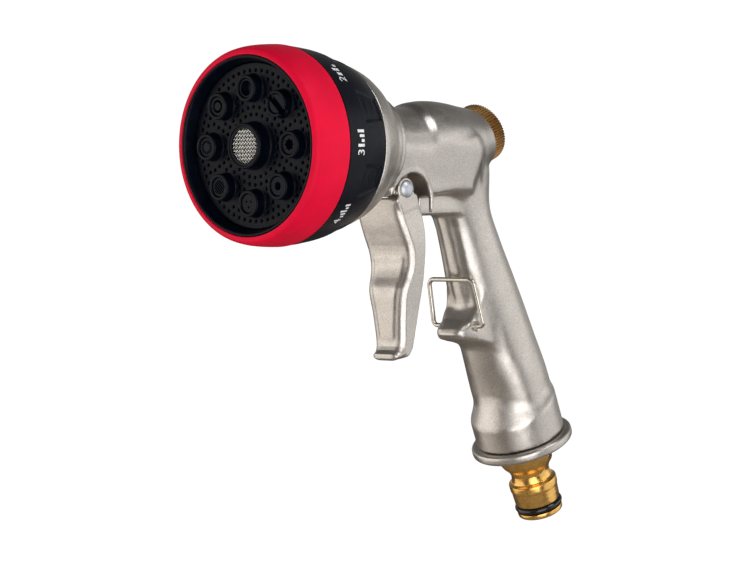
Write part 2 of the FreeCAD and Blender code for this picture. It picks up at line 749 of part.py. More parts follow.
def flow_knob():
    return on_flow_axis([
        (KNOB_FRONT_B, 2.5),
        (KNOB_FRONT_B, KNOB_R - 0.5),
        (KNOB_FRONT_B + 0.5, KNOB_R - 0.15),
        (KNOB_REAR_B - 0.6, KNOB_R - 0.15),
        (KNOB_REAR_B, KNOB_R - 0.7),
        (KNOB_REAR_B, 2.5),
    ])


def knob_screw():
    return on_flow_axis([
        (13.0, 0.0),
        (13.0, 1.2),
        (KNOB_REAR_B + 0.02, 1.2),
        (KNOB_REAR_B + 0.02, 2.7),
        (KNOB_REAR_B + 0.8, 2.7),
        ((KNOB_REAR_B + 1.3, 1.7), (KNOB_REAR_B + 1.5, 0.5)),
        (KNOB_REAR_B + 1.5, 0.0),
    ])


# ---- hose end -----------------------------------------------------------------------------
def inlet_gasket():
    return turned_on_handle([
        (SOCKET_TOP_S + 0.05, SPIGOT_BORE_R),
        (SOCKET_TOP_S + 0.05, SOCKET_R - 0.2),
        (SOCKET_TOP_S + 2.0, SOCKET_R - 0.2),
        (SOCKET_TOP_S + 2.0, SPIGOT_BORE_R),
    ])


def base_ring():
    return turned_on_handle([
        (FLANGE_TOP_S, SOCKET_R + 0.1),
        (FLANGE_TOP_S, FLANGE_R - 1.2),
        ((FLANGE_TOP_S + 0.35, FLANGE_R - 0.35), (FLANGE_TOP_S + 1.2, FLANGE_R)),
        (FLANGE_FOOT_S - 1.2, FLANGE_R),
        ((FLANGE_FOOT_S - 0.35, FLANGE_R - 0.35), (FLANGE_FOOT_S, FLANGE_R - 1.2)),
        (FLANGE_FOOT_S, SOCKET_R + 0.1),
    ])


def hose_adapter():
    """Brass quick-connect spigot with a hexagon, a latch collar and a groove for its seal."""
    turned_part = turned_on_handle([
        (SOCKET_TOP_S + 2.05, SPIGOT_BORE_R),
        (SOCKET_TOP_S + 2.05, SOCKET_R - 0.6),
        (SOCKET_TOP_S + 2.6, SOCKET_R - 0.05),
        (FLANGE_FOOT_S + 0.05, SOCKET_R - 0.05),
        (FLANGE_FOOT_S + 0.05, 10.4),
        (FLANGE_FOOT_S + 2.0, 10.4),
        (114.8, 7.2),
        (115.9, 6.4),
        (118.0, 6.7),
        (LATCH_TOP_S - 0.3, 7.4),
        (LATCH_TOP_S, LATCH_R),
        (LATCH_FOOT_S, LATCH_R),
        (LATCH_FOOT_S + 0.4, 7.4),
        (ORING_S - 1.25, 7.4),
        (ORING_S - 1.25, 6.1),
        (ORING_S + 1.25, 6.1),
        (ORING_S + 1.25, 7.6),
        (SPIGOT_END_S - 0.6, 7.6),
        (SPIGOT_END_S, 7.0),
        (SPIGOT_END_S, SPIGOT_BORE_R),
    ])
    across_flats = 18.0
    corners = []
    for i in range(7):
        angle = math.radians(60.0 * i)
        radial = AXIS_X * math.cos(angle) + HANDLE_BACK * math.sin(angle)
        corners.append(HANDLE_TOP + HANDLE_DOWN * 80.0 + radial * (across_flats / math.sqrt(3)))
    hexagon = Part.Face(Part.makePolygon(corners)).extrude(HANDLE_DOWN * 60.0)
    return turned_part.common(hexagon)


def spigot_oring():
    centre = HANDLE_TOP + HANDLE_DOWN * ORING_S
    return Part.makeTorus(ORING_OUTER_R - ORING_WIRE_R, ORING_WIRE_R, centre, HANDLE_DOWN)


def all_pieces():
    pieces = {
        "grip_ring": grip_ring(),
        "dial_shell": dial_shell(),
        "face_plate": face_plate(),
        "screen_holder": screen_holder(),
        "mesh_screen": mesh_screen(),
        "channel_plate": channel_plate(),
        "front_bell": front_bell(),
        "head_screw": head_screw(),
        "screw_washer": screw_washer(),
        "outlet_seal": outlet_seal(),
        "outlet_spring": outlet_spring(),
        "detent_ball": detent_ball(),
        "detent_spring": detent_spring(),
        "body_casting": body_casting(),
        "stem_gland": stem_gland(),
        "stem_oring": stem_oring(),
        "valve_seat": valve_seat(),
        "valve_stem": valve_stem(),
        "stem_washer": stem_washer(),
        "washer_cup": washer_cup(),
        "valve_spring": valve_spring(),
        "trigger_pin": trigger_pin(),
        "trigger": trigger(),
        "lock_bail": lock_bail(),
        "jumper_washer": jumper_washer(),
        "jumper": jumper(),
        "flow_spindle": flow_spindle(),
        "spindle_oring": spindle_oring(),
        "bonnet": bonnet(),
        "flow_knob": flow_knob(),
        "knob_screw": knob_screw(),
        "inlet_gasket": inlet_gasket(),
        "base_ring": base_ring(),
        "hose_adapter": hose_adapter(),
        "spigot_oring": spigot_oring(),
    }
    pieces.update(pattern_inserts())
    return pieces


os.makedirs("parts", exist_ok=True)
for name, shape in all_pieces().items():
    shape.translate(ROW_ORIGIN * -1)
    shape.exportStep("parts/" + name + ".step")
    print(name, "solids", len(shape.Solids), "valid", shape.isValid(), "volume", round(shape.Volume, 1))
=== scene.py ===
"""Looks of the hose spray nozzle: its casting, dial, sprayer face, screen, brass parts and materials.

Shapes are worked out in millimetres in the head frame, and to_row() turns them into metres of the row
frame. In the head frame the head axis is Y, water leaves along -Y, Z is up and y = 0 is the rear of the
soft ring.
"""

import json
import math

import bpy
import numpy as np
import openvdb
from mathutils import Matrix, Vector


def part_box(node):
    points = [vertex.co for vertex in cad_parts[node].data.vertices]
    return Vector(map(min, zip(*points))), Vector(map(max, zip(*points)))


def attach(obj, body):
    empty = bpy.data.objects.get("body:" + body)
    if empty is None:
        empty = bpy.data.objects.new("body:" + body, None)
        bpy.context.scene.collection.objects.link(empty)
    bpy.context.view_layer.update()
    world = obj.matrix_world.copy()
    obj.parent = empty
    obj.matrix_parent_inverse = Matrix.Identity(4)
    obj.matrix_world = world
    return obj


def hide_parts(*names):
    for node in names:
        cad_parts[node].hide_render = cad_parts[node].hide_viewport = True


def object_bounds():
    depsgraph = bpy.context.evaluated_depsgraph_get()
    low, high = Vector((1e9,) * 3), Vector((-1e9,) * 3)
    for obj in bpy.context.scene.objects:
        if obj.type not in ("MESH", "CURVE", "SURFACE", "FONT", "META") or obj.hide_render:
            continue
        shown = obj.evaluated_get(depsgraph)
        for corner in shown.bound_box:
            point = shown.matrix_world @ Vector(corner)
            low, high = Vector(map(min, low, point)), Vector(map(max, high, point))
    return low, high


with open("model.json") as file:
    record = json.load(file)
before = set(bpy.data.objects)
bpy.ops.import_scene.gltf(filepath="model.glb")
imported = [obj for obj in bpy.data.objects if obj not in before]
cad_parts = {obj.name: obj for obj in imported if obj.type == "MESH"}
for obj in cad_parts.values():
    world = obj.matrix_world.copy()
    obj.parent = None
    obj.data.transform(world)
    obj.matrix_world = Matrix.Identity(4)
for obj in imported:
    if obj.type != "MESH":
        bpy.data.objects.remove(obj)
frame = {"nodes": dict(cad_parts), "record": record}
cad_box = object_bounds()

# ---- driving dimensions, read from the frame -----------------------------------------------------
MM = 0.001
ring_low, ring_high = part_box("grip_ring")
HEAD = Vector(((ring_low.x + ring_high.x) / 2, ring_high.y, (ring_low.z + ring_high.z) / 2))
SPIGOT = next(m for m in frame["record"]["mounts"] if m["name"] == "hose_spigot")
PATTERNS = 8
STEP_DEG = 360.0 / PATTERNS

# the handle axis, in head-frame millimetres
HANDLE_DOWN = np.array(SPIGOT["axis"], float)
HANDLE_BACK = np.array([0.0, -HANDLE_DOWN[2], HANDLE_DOWN[1]])
LATCH_S = HEAD.z / -HANDLE_DOWN[2] / MM
HANDLE_TOP = -np.array(HEAD) / MM - HANDLE_DOWN * LATCH_S


def to_row(points):
    """Head-frame millimetres to row-frame metres."""
    return np.asarray(points, float) * MM + np.array(HEAD)


def place_y(along, radius, angle):
    """A point on a lathe about the head axis; angle 0 is up, growing clockwise seen from the front."""
    return np.array([radius * math.sin(angle), along, radius * math.cos(angle)])


def place_handle(along, radius, angle):
    side = np.array([1.0, 0.0, 0.0]) * math.sin(angle) + HANDLE_BACK * math.cos(angle)
    return HANDLE_TOP + HANDLE_DOWN * along + side * radius


# ---- mesh helpers --------------------------------------------------------------------------------
def mesh_object(name, points, faces, sharp_deg=40.0):
    """A mesh from head-frame millimetres, smooth apart from edges sharper than sharp_deg."""
    mesh = bpy.data.meshes.new(name)
    mesh.from_pydata([tuple(p) for p in to_row(points)], [], [tuple(int(i) for i in f) for f in faces])
    mesh.validate()
    mesh.shade_smooth()
    mesh.set_sharp_from_angle(angle=math.radians(sharp_deg))
    obj = bpy.data.objects.new(name, mesh)
    bpy.context.scene.collection.objects.link(obj)
    return obj


def dress(obj, material, body, slot, *replaced):
    """Give a piece its material and body, and hide the CAD nodes it stands for. The slot argument is not
    used.
    """
    obj.data.materials.append(material)
    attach(obj, body)
    if replaced:
        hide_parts(*replaced)
    return obj


def softened(corners, radius, steps=3):
    """A closed outline with its corners rounded, each by a short quadratic curve."""
    corners = [np.array(c, float) for c in corners]
    out = []
    for i, corner in enumerate(corners):
        before = corners[i - 1] - corner
        after = corners[(i + 1) % len(corners)] - corner
        reach_in = min(radius, 0.45 * np.linalg.norm(before))
        reach_out = min(radius, 0.45 * np.linalg.norm(after))
        start = corner + before / np.linalg.norm(before) * reach_in
        end = corner + after / np.linalg.norm(after) * reach_out
        for k in range(steps + 1):
            t = k / steps
            out.append((1 - t) ** 2 * start + 2 * t * (1 - t) * corner + t * t * end)
    return out


def lathe(outline, place, segments=128, warp=None):
    """Points and faces of a closed (along, radius) outline turned about an axis."""
    count = len(outline)
    points = []
    for i in range(segments):
        angle = 2 * math.pi * i / segments
        for along, radius in outline:
            if warp:
                along, radius = warp(along, radius, angle)
            points.append(place(along, radius, angle))
    faces = []
    for i in range(segments):
        j = (i + 1) % segments
        for k in range(count):
            m = (k + 1) % count
            faces.append((i * count + k, i * count + m, j * count + m, j * count + k))
    return np.array(points), faces


def merged(parts):
    """Several (points, faces) as one."""
    points, faces, base = [], [], 0
    for part_points, part_faces in parts:
        points.append(np.asarray(part_points, float))
        faces += [tuple(i + base for i in f) for f in part_faces]
        base += len(part_points)
    return np.vstack(points), faces


# ---- fields for the cast pieces ------------------------------------------------------------------
# A field is a signed distance in millimetres, negative inside the metal. Coordinates are arrays that
# broadcast.
def blend_in(a, b, fillet):
    """Union of two fields with a fillet between them."""
    overlap = np.maximum(fillet - np.abs(a - b), 0.0) / fillet
    return np.minimum(a, b) - overlap * overlap * fillet / 4


def cut_by(a, b, fillet):
    """Field a with field b taken away, the new edge rounded."""
    return -blend_in(-a, b, fillet)


def within(a, b, fillet):
    """Where both fields are inside, with a rounded edge."""
    return -blend_in(-a, -b, fillet)


def smooth_step(t):
    """0 before t = 0, 1 after t = 1, and smooth between."""
    t = np.clip(t, 0.0, 1.0)
    return t * t * (3 - 2 * t)


def curve_through(x, knots, values):
    """A smooth curve through the knots (cubic Hermite, ends held)."""
    knots = np.array(knots, float)
    values = np.array(values, float)
    slopes = np.gradient(values, knots)
    x = np.clip(x, knots[0], knots[-1])
    i = np.clip(np.searchsorted(knots, x, side="right") - 1, 0, len(knots) - 2)
    span = knots[i + 1] - knots[i]
    t = (x - knots[i]) / span
    return ((2 * t ** 3 - 3 * t ** 2 + 1) * values[i] + (t ** 3 - 2 * t ** 2 + t) * span * slopes[i]
            + (3 * t ** 2 - 2 * t ** 3) * values[i + 1] + (t ** 3 - t ** 2) * span * slopes[i + 1])


def outline_field(y, z, corners):
    """Signed distance in the Y-Z plane to a closed outline."""
    nearest = np.full(np.broadcast(y, z).shape, 1e9)
    inside = np.zeros(nearest.shape, bool)
    for (y0, z0), (y1, z1) in zip(corners, corners[1:] + corners[:1]):
        edge_y, edge_z = y1 - y0, z1 - z0
        t = np.clip(((y - y0) * edge_y + (z - z0) * edge_z) / (edge_y ** 2 + edge_z ** 2), 0, 1)
        nearest = np.minimum(nearest, np.hypot(y - y0 - t * edge_y, z - z0 - t * edge_z))
        if z0 != z1:
            crossing = ((z0 > z) != (z1 > z)) & (y < edge_y * (z - z0) / edge_z + y0)
            inside ^= crossing
    return np.where(inside, -nearest, nearest)


def ellipse_field(a, b, half_a, half_b, power):
    """Approximate distance to a superellipse."""
    ratio = (np.abs(a / half_a) ** power + np.abs(b / half_b) ** power) ** (1 / power)
    return (ratio - 1) * np.minimum(half_a, half_b)


def surface(values, step, origin):
    """The zero surface of a sampled field: its points in millimetres and its quads."""
    grid = openvdb.FloatGrid(3.0 * step)
    grid.copyFromArray(np.ascontiguousarray(values, np.float32))
    points, quads = grid.convertToQuads(0.0)
    return points * step + np.array(origin, float), quads[:, ::-1]


def skin_of(field, low, high, step, mirror=True):
    """The surface of a field over a box; with mirror only X > 0 is worked out and then mirrored."""
    x = np.arange(step / 2, high[0] + step, step)
    if not mirror:
        x = np.concatenate([-x[::-1], x])
    y = np.arange(low[1], high[1] + step, step)
    z = np.arange(low[2], high[2] + step, step)
    values = np.asarray(field(x[:, None, None], y[None, :, None], z[None, None, :]), np.float32)
    if mirror:
        values = np.concatenate([values[::-1], values], axis=0)
    return surface(values, step, (-x[-1], y[0], z[0]))


# handle sections down its axis: distance, half width, depth in front, depth behind
HANDLE_S = [2, 12, 24, 36, 47, 58, 70, 82, 96]
HANDLE_HALF = [9.4, 9.0, 8.3, 8.9, 9.8, 10.8, 11.7, 12.9, 13.0]
HANDLE_FRONT = [9.0, 9.8, 9.5, 10.2, 11.2, 11.5, 11.0, 10.2, 10.0]
HANDLE_REAR = [14.5, 14.6, 10.6, 10.9, 12.1, 13.1, 14.0, 14.7, 14.6]
BARREL_Y = [40.4, 47, 56, 66, 76, 85, 91.2, 95]
BARREL_R = [13.0, 11.9, 12.0, 12.9, 12.6, 11.3, 10.1, 10.1]
BARREL_Z = [-0.3, -0.2, -0.1, 0.1, 0.5, 1.4, 2.3, 2.3]
REAR_FACE = 14.5            # flat rear face of the casting, behind the handle axis
KNOB_LENGTH = 5.45
KNURLS = 64
KNURL_DEPTH = 0.48
KNOB_LEAN = math.atan2(HANDLE_BACK[2], HANDLE_BACK[1])
knob_low, knob_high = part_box("flow_knob")
KNOB_R = (knob_high.x - knob_low.x) / 2 / MM
flow_turn = next(j for j in frame["record"]["behaviour"]["joints"] if j["name"] == "flow_turn")
KNOB_FRONT = (np.array(flow_turn["pos_m"]) - np.array(HEAD)) / MM
pin_low, pin_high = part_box("trigger_pin")
PIN_Y = ((pin_low.y + pin_high.y) / 2 - HEAD.y) / MM
PIN_Z = ((pin_low.z + pin_high.z) / 2 - HEAD.z) / MM
LIP_FRONT_Y = 38.3
LIP_REAR_Y = 40.6
LIP_R = 16.1
COLLAR_R = 14.75
COLLAR_FOOT_S = 102.7
CHAMFER_FOOT_S = 94.3       # where the chamfer ends in front
CHAMFER_SWEEP = 0.24        # rise of the chamfer per millimetre towards the rear
CHAMFER_SLOPE = 0.52
CHAMFER_SCALE = 0.887       # makes the slanting field a distance again
GROOVE_X = 3.2
GROOVE_WIDTH = 1.3
GROOVE_DEPTH = 0.3
GROOVE_TOP_S = 18.0
GROOVE_FOOT_S = 60.0
BARREL_FRONT_Y = 38.5
THUMB_REST_Y = 56.5         # the step up to the thumb rest starts here
THUMB_REST_RISE = 1.0
THUMB_REST_END_Y = 84.0
ARCH_Y = 48.9
ARCH_Z = -17.0
ARCH_R = 8.2
ARCH_OPEN_Z = -40           # well below the casting, where the pocket is open
RIM_WALL = 1.3              # the rim round the arch is this thick
RIM_HALF = 11.6
RIM_FRONT_Y = 45.0
RIM_LEG_Z = -16.2
RIM_LEG_INNER = 9.95
bail = next(j for j in frame["record"]["behaviour"]["joints"] if j["name"] == "bail_swing")
BAIL_Y = (bail["pos_m"][1] - HEAD.y) / MM
BAIL_Z = (bail["pos_m"][2] - HEAD.z) / MM
EYE_R = 1.45                # the recess round each end of the wire bail
EYE_INNER_X = 6.3
# outlines of the casting's features from the side, as (y, z)
HOOK_OUTLINE = [(93, -44), (86.5, -47), (84.4, -52), (81.6, -56), (77.4, -58.6), (76.7, -60.6),
                (78.6, -62.3), (86, -63.6), (95, -66)]
CHEEK_OUTLINE = [(40, -2), (40, -16), (62, -16), (78, -14), (80, -2)]
CHEEK_HALF = 10.8
KEEL_OUTLINE = [(56.6, -12), (56.6, -22.2), (78, -22.2), (80, -12)]
KEEL_HALF = 6.6
LUG_OUTLINE = [(44.6, -13.7), (51.4, -13.7), (51.4, -7), (44.6, -7)]
LUG_R = 3.4
LUG_X = 5.15                # middle of each lug
LUG_HALF = 1.95
STEM_SLOT_HALF = 3.2


def handle_coordinates(y, z):
    """Distance down the handle axis and distance behind it."""
    from_y, from_z = y - HANDLE_TOP[1], z - HANDLE_TOP[2]
    down = from_y * HANDLE_DOWN[1] + from_z * HANDLE_DOWN[2]
    back = from_y * HANDLE_BACK[1] + from_z * HANDLE_BACK[2]
    return down, back


def handle_field(x, down, back):
    half = curve_through(down, HANDLE_S, HANDLE_HALF)
    front = curve_through(down, HANDLE_S, HANDLE_FRONT)
    rear = curve_through(down, HANDLE_S, HANDLE_REAR)
    depth = np.where(back > 0, rear, front)
    # rounded squares at the top of the grip, ellipses from there down
    squareness = 2.1 + 0.9 * np.clip((26.0 - down) / 24.0, 0, 1)
    shaft = ellipse_field(x, back, half, depth, squareness)
    shaft = within(shaft, np.maximum(HANDLE_S[0] - down, down - COLLAR_FOOT_S), 0.5)
    # a soft groove down each side of the front of the grip
    groove = GROOVE_DEPTH * np.exp(-((np.abs(x) - GROOVE_X) / GROOVE_WIDTH) ** 2) * (back < 0)
    fade = smooth_step((down - GROOVE_TOP_S) / 4.0) * smooth_step((GROOVE_FOOT_S - down) / 5.0)
    return shaft + groove * fade


def collar_field(x, down, back):
    """Round foot of the handle; its upper edge sweeps up towards the rear as a wide chamfer."""
    across = np.hypot(x, back)
    chamfer_foot = CHAMFER_FOOT_S - CHAMFER_SWEEP * np.clip(back + 10.0, 0.0, 25.0)
    tube = across - COLLAR_R
    chamfer = (across - COLLAR_R + (chamfer_foot - down) * CHAMFER_SLOPE) * CHAMFER_SCALE
    tube = within(tube, chamfer, 0.35)
    return within(tube, down - COLLAR_FOOT_S, 0.5)


def barrel_field(x, y, z):
    """Round barrel whose sections lean more and more until the last is square to the handle."""
    lean = math.tan(KNOB_LEAN) * smooth_step((y - 70.0) / 20.0)
    station = y + lean * (z - curve_through(y, BARREL_Y, BARREL_Z))
    radius = curve_through(station, BARREL_Y, BARREL_R)
    up = (z - curve_through(station, BARREL_Y, BARREL_Z)) * np.sqrt(1 + lean * lean)
    across = np.hypot(x, up)
    # the thumb rest: a step up that faces forward, and a long slope back down
    upper = smooth_step((up / np.maximum(across, 1e-6) + 0.35) / 0.6)
    step = smooth_step((station - THUMB_REST_Y) / 3.4) * smooth_step((THUMB_REST_END_Y - station) / 22.0)
    tube = across - radius - THUMB_REST_RISE * upper * step
    return within(tube, BARREL_FRONT_Y - y, 0.5)


def arch_field(y, z):
    """The round-topped pocket for the trigger ears, from the side."""
    front, rear = ARCH_Y - ARCH_R, ARCH_Y + ARCH_R
    corners = [(front, ARCH_Z), (front, ARCH_OPEN_Z), (rear, ARCH_OPEN_Z), (rear, ARCH_Z)]
    return np.minimum(np.hypot(y - ARCH_Y, z - ARCH_Z) - ARCH_R, outline_field(y, z, corners))


def hook_field(x, y, z):
    """Finger hook on the front of the grip, scooped on top and wider towards the handle."""
    side = outline_field(y, z, HOOK_OUTLINE)
    half = 4.6 + 2.8 * np.clip((y - 77.0) / 7.0, 0, 1) ** 0.7
    hook = within(side, np.abs(x) - half, 2.4)
    eye = np.maximum(np.hypot(y - BAIL_Y, z - BAIL_Z) - EYE_R, EYE_INNER_X - np.abs(x))
    return cut_by(hook, eye, 0.3)


def body_field(x, y, z):
    down, back = handle_coordinates(y, z)
    fillet = 7.0 - 5.8 * smooth_step((back - 2.0) / 6.0)
    metal = blend_in(barrel_field(x, y, z), handle_field(x, down, back), fillet)
    metal = blend_in(metal, collar_field(x, down, back), 0.8)
    # cheeks over the trigger ears, the rim round their arch, and the keel that holds the valve stem
    cheeks = outline_field(y, z, CHEEK_OUTLINE)
    metal = blend_in(metal, within(np.abs(x) - CHEEK_HALF, cheeks, 3.0), 5.0)
    keel = outline_field(y, z, KEEL_OUTLINE)
    metal = blend_in(metal, within(np.abs(x) - KEEL_HALF, keel, 2.0), 1.2)
    arch = arch_field(y, z)
    rim = np.maximum(np.hypot(y - ARCH_Y, z - ARCH_Z) - ARCH_R - RIM_WALL, np.abs(x) - RIM_HALF)
    rim = np.maximum(rim, RIM_FRONT_Y - y)
    # the rear leg of the rim runs down outside the trigger's side plates
    rim = np.maximum(rim, np.minimum(RIM_LEG_Z - z, RIM_LEG_INNER - np.abs(x)))
    metal = blend_in(metal, rim, 0.5)
    metal = blend_in(metal, hook_field(x, y, z), 2.0)
    metal = cut_by(metal, arch, 0.35)
    metal = within(metal, back - REAR_FACE, 0.7)
    lugs = np.minimum(np.hypot(y - PIN_Y, z - PIN_Z) - LUG_R, outline_field(y, z, LUG_OUTLINE))
    metal = np.minimum(metal, np.maximum(lugs, np.abs(np.abs(x) - LUG_X) - LUG_HALF))
    lip = within(np.hypot(x, z) - LIP_R, np.maximum(LIP_FRONT_Y - y, y - LIP_REAR_Y), 0.25)
    metal = blend_in(metal, lip, 0.5)
    # the slot that the valve stem and the trigger's cam move in
    slot = np.maximum(np.abs(x) - STEM_SLOT_HALF, np.maximum(np.maximum(44.0 - y, y - 60.4), z + 12.4))
    return cut_by(metal, slot, 0.4)


def body_casting(material):
    points, quads = skin_of(body_field, (-17, 37.5, -112), (17, 123, 16), 0.5)
    obj = mesh_object("cast_body", points, quads, sharp_deg=60)
    return dress(obj, material, "body", "cast_metal", "body_casting")


# ---- trigger -------------------------------------------------------------------------------------
# outlines from the top down, as (y, z)
TRIGGER_FRONT = [(43.2, -16.6), (45.3, -23.7), (47.7, -29.0), (49.4, -33.0), (49.9, -36.9),
                 (49.1, -40.7), (47.7, -44.2), (47.8, -52.5), (48.3, -60.6)]
TRIGGER_LIP = [(48.2, -62.4), (47.6, -63.9), (46.2, -64.9), (46.3, -66.2), (47.2, -66.8)]
TRIGGER_HEEL = [(49.8, -66.4), (52.0, -65.2), (53.3, -63.3)]
TRIGGER_REAR = [(53.8, -61.0), (55.1, -52.7), (55.8, -44.0), (56.0, -35.3), (56.0, -29.2),
                (55.3, -23.0), (52.6, -15.6)]
EAR_OUTLINE = [(43.6, -17.4), (44.8, -15.0), (48, -13.7), (51.4, -14.4), (52.8, -16.0), (53.6, -19.0),
               (46.0, -21.0)]
EAR_R = 3.7
EAR_X = 8.3                 # middle of each ear
EAR_HALF = 0.9
CAM_OUTLINE = [(46.6, -17.2), (55.5, -17.2), (55.5, -24.7), (48.5, -24.7)]
CAM_HALF = 2.6
PIN_CLEAR_R = 1.52
PAD_PROUD = 0.55
PAD_INSET = 3.1
PAD_TOP_Z = -33.5
PAD_FOOT_Z = -61.5
TRIGGER_WIDTH_Z = [-68, -52, -41, -30, -21, -9]
TRIGGER_HALF = [5.6, 7.0, 8.8, 9.7, 9.3, 9.2]
TRIGGER_WALL = 1.8


def sampled(knots, count=28):
    """Points on a smooth curve through (y, z) knots that run steadily downwards or upwards."""
    knots = sorted(knots, key=lambda p: p[1])
    z = np.linspace(knots[0][1], knots[-1][1], count)
    return list(zip(curve_through(z, [p[1] for p in knots], [p[0] for p in knots]), z))


def trigger_field(x, y, z):
    front = sampled(TRIGGER_FRONT)[::-1]
    rear = sampled(TRIGGER_REAR)
    side = np.abs(x) - curve_through(z, TRIGGER_WIDTH_Z, TRIGGER_HALF)
    front_y = curve_through(z, [p[1] for p in TRIGGER_FRONT[::-1]], [p[0] for p in TRIGGER_FRONT[::-1]])
    outer = outline_field(y, z, front + TRIGGER_LIP + TRIGGER_HEEL + rear)
    # round along the front edges only: the side plates end in plain edges at the rear
    rounding = 3.4 - 3.0 * smooth_step((y - front_y - 1.0) / 2.0)
    metal = within(outer - 0.15, side, rounding)
    inner = [(py + TRIGGER_WALL, pz) for py, pz in front]
    hollow = outline_field(y, z, inner + [(62.0, -58.0), (62.0, -8.0), (inner[0][0], -8.0)])
    metal = cut_by(metal, within(hollow, side + TRIGGER_WALL, 1.5), 0.4)
    # the finger pad stands a little proud of the lower half
    pad = within(side + PAD_INSET, front_y - PAD_PROUD - y, 1.2)
    pad = within(pad, np.maximum(z - PAD_TOP_Z, PAD_FOOT_Z - z), 2.5)
    metal = blend_in(metal, np.maximum(pad, y - front_y - 1.0), 0.5)
    # ears with round eyes about the pin, and the cam finger that pushes the valve stem
    from_pin = np.hypot(y - PIN_Y, z - PIN_Z)
    ear = np.minimum(from_pin - EAR_R, outline_field(y, z, EAR_OUTLINE))
    metal = blend_in(metal, within(ear, np.abs(np.abs(x) - EAR_X) - EAR_HALF, 0.6), 0.8)
    metal = np.minimum(metal, np.maximum(np.abs(x) - CAM_HALF, outline_field(y, z, CAM_OUTLINE)))
    return np.maximum(metal, PIN_CLEAR_R - from_pin)


def trigger(material):
    points, quads = skin_of(trigger_field, (-10.5, 41.5, -68.5), (10.5, 58, -8.5), 0.3)
    obj = mesh_object("cast_trigger", points, quads, sharp_deg=60)
    return dress(obj, material, "trigger_lever", "cast_metal", "trigger")


# ---- turned pieces -------------------------------------------------------------------------------
FACE_Y = -9.3
RING_FRONT_Y = (ring_low.y - HEAD.y) / MM
RING_R = (ring_high.x - ring_low.x) / 2 / MM
RING_BORE_R = 26.7
DIAL_REAR_Y = 19.8
DIAL_REAR_R = 26.1
DIAL_PROFILE_Y = [0.05, 5, 10, 15, DIAL_REAR_Y]
DIAL_PROFILE_R = [29.9, 29.45, 28.8, 27.7, DIAL_REAR_R]
SCOOP_FRONT_Y = 8.2
SCOOP_REAR_Y = 18.6
SCOOP_DEPTH = 0.5
BAR_Y = 13.2                # the two grip bars lie on either side of here
BAR_APART = 1.9
DIAL_BORE_R = 24.6


def front_bell(material):
    outline = softened([(20.45, 24.5), (20.45, 25.7), (22.5, 25.35), (26.5, 24.0), (29.8, 22.2),
                        (32.4, 20.3), (33.2, 19.5), (33.9, 18.3), (35.4, 17.3), (38.3, 16.9),
                        (38.3, 15.65), (34.2, 15.65), (31.6, 19.3), (26.0, 22.8)], 0.7)
    obj = mesh_object("cast_bell", *lathe(outline, place_y, 160), sharp_deg=50)
    return dress(obj, material, "body", "cast_metal", "front_bell")


def grip_ring(material):
    front_y = RING_FRONT_Y + 0.02
    outline = softened([(front_y, RING_BORE_R), (front_y, RING_BORE_R + 0.5), (RING_FRONT_Y + 0.5, 28.4),
                        (-11.6, 29.0), (-9.0, 29.55), (-6.0, 29.85), (-3.0, RING_R - 0.08),
                        (-0.05, RING_R - 0.02), (-0.05, RING_BORE_R)], 0.9, 5)
    obj = mesh_object("soft_ring", *lathe(outline, place_y, 192), sharp_deg=60)
    return dress(obj, material, "dial", "soft_grip", "grip_ring")


def dial_scoops(along, radius, angle):
    """Shallow finger scoops between the marks, with two raised grip bars in each."""
    if radius < DIAL_BORE_R + 0.6 or along < 3:
        return along, radius
    turn = math.degrees(angle) / STEP_DEG
    off_centre = (turn - math.floor(turn) - 0.5) * STEP_DEG
    across = radius * math.radians(off_centre)
    half_width = 5.4 - 0.16 * (along - 8.0)
    inside = min(half_width - abs(across), along - SCOOP_FRONT_Y, SCOOP_REAR_Y - along)
    dent = SCOOP_DEPTH * min(max(inside / 0.7, 0.0), 1.0)
    bar = max(0.0, 1.0 - abs(abs(along - BAR_Y) - BAR_APART) / 0.5) * (1.0 if abs(across) < 2.3 else 0.0)
    return along, radius - dent * (1.0 - 0.3 * bar)


def dial_shell(material):
    rear = [(y, dial_radius(y)) for y in np.linspace(0.08, DIAL_REAR_Y - 0.3, 66)]
    front = softened([(0.06, RING_BORE_R - 0.06), (0.06, 29.6), (0.3, 29.85)], 0.15)
    outline = ([(DIAL_REAR_Y, DIAL_BORE_R)]
               + softened([(FACE_Y, DIAL_BORE_R), (-12.6, 25.55), (RING_FRONT_Y + 0.15, 25.9),
                           (RING_FRONT_Y + 0.15, RING_BORE_R - 0.06)], 0.4)
               + front[:8] + rear + [(DIAL_REAR_Y, DIAL_REAR_R - 0.4)])
    obj = mesh_object("dial_body", *lathe(outline, place_y, 576, dial_scoops), sharp_deg=38)
    return dress(obj, material, "dial", "dial_plastic", "dial_shell")


def dial_radius(along):
    return float(curve_through(np.array(along), DIAL_PROFILE_Y, DIAL_PROFILE_R))


def knurled(along, radius, angle):
    """Straight knurling on the rim of the flow knob."""
    if radius < KNOB_R - 0.75:
        return along, radius
    return along, radius + KNURL_DEPTH / 2 * (math.cos(angle * KNURLS) - 1)


def place_knob(along, radius, angle):
    """A point on a lathe about the flow axis, from the front of the knob."""
    side = np.array([1.0, 0.0, 0.0]) * math.sin(angle) - HANDLE_DOWN * math.cos(angle)
    return KNOB_FRONT + HANDLE_BACK * along + side * radius


def flow_knob(material):
    outline = softened([(0.0, 2.5), (0.0, KNOB_R - 0.5), (0.5, KNOB_R), (KNOB_LENGTH - 0.6, KNOB_R),
                        (KNOB_LENGTH, KNOB_R - 0.6), (KNOB_LENGTH, 6.6), (KNOB_LENGTH - 0.5, 6.2),
                        (KNOB_LENGTH - 0.5, 2.5)], 0.25, 2)
    obj = mesh_object("knurled_knob", *lathe(outline, place_knob, 672, knurled), sharp_deg=35)
    return dress(obj, material, "flow_knob", "knob_brass", "flow_knob")


FLANGE_R = 16.9
FLANGE_FOOT_S = 106.4


